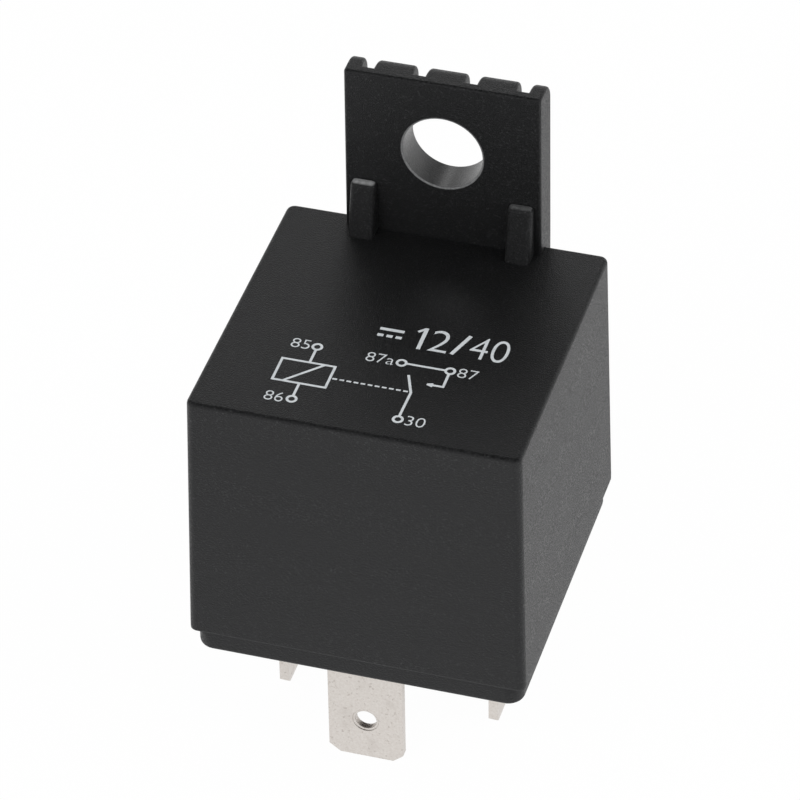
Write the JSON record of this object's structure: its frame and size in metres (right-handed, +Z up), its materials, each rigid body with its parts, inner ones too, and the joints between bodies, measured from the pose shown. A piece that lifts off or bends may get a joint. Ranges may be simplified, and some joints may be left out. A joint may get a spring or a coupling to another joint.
{
  "type": "automotive relay",
  "caption": "Plug-in automotive relay: a black moulded cover with a ribbed fixing tab, a base with flat blade terminals, and a sealed coil, armature and contacts inside.",
  "frame": {"origin": "centre of the base's underside, the face that seats on the socket", "axes": "+Z up out of the socket towards the fixing tab's top, the blade at the front at -Y, the fixing tab at +Y"},
  "size_m": [0.028, 0.0292, 0.051],
  "materials": {
    "cover_plastic": "black glass-filled plastic, fine moulded grain",
    "base_plastic": "black moulded plastic",
    "tinned_brass": "tin-plated brass, satin",
    "copper_strip": "bare copper alloy strip",
    "yoke_steel": "zinc-plated steel",
    "core_steel": "plated soft iron",
    "bobbin_plastic": "natural nylon",
    "coil_wire": "enamelled copper wire",
    "spring_bronze": "spring bronze strip",
    "rivet_brass": "brass",
    "contact_silver": "silver alloy"
  },
  "bodies": {
    "root": {"cover": "cover_plastic", "base": "base_plastic", "terminal_87": "tinned_brass", "terminal_87a": "tinned_brass", "terminal_85": "tinned_brass", "terminal_86": "tinned_brass", "terminal_30": "tinned_brass", "bridge_bar": "copper_strip", "yoke": "yoke_steel", "core": "core_steel", "bobbin": "bobbin_plastic", "winding": "coil_wire", "coil_lead_85": "coil_wire", "coil_lead_86": "coil_wire", "yoke_rivets": "rivet_brass", "fixed_contact": "contact_silver", "rest_stop": "tinned_brass"},
    "armature": {"armature": "yoke_steel", "contact_spring": "spring_bronze", "armature_rivets": "rivet_brass", "moving_contact": "contact_silver"}
  },
  "joints": [
    {"name": "armature_pivot", "type": "hinge", "parent": "root", "child": "armature", "pos_m": [0, 0.00988, 0.01977], "axis": [1, 0, 0], "range_deg": [0, 2.4], "stiffness_Nm_per_rad": 0.015, "springref_deg": -20.05, "deforming": ["contact_spring"]}
  ]
}
